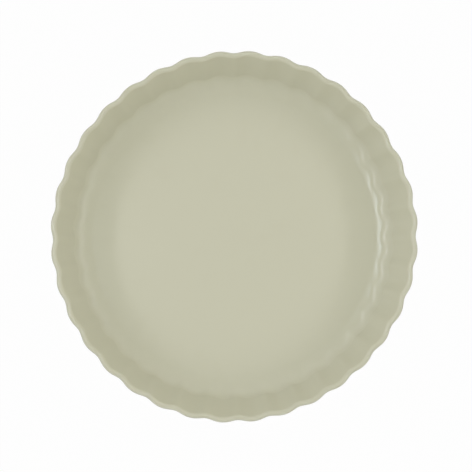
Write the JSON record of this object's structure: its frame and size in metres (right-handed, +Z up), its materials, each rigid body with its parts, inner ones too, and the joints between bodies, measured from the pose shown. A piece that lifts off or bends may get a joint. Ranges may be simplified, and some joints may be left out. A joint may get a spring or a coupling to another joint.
{
  "type": "fluted quiche dish",
  "caption": "Round shallow ceramic baking dish with a fluted, outward-leaning wall, a rounded rim, a flat floor and a bare foot ring, for quiches and tarts.",
  "frame": {"origin": "centre of the foot ring's bottom plane, on the centre line of the dish", "axes": "+Z up out of the dish along its centre line, +X through a valley of the flutes and +Y through another a quarter turn on, each within a degree"},
  "size_m": [0.2784, 0.2817, 0.045],
  "materials": {
    "bare_stoneware": "fired clay, unglazed, fine-grained and matt",
    "sage_cream_glaze": "smooth opaque glaze, greyish cream with a hint of green, glossy"
  },
  "bodies": {
    "root": {"stoneware_body": "bare_stoneware", "glaze_coat": "sage_cream_glaze", "recess_glaze": "sage_cream_glaze"}
  },
  "joints": []
}
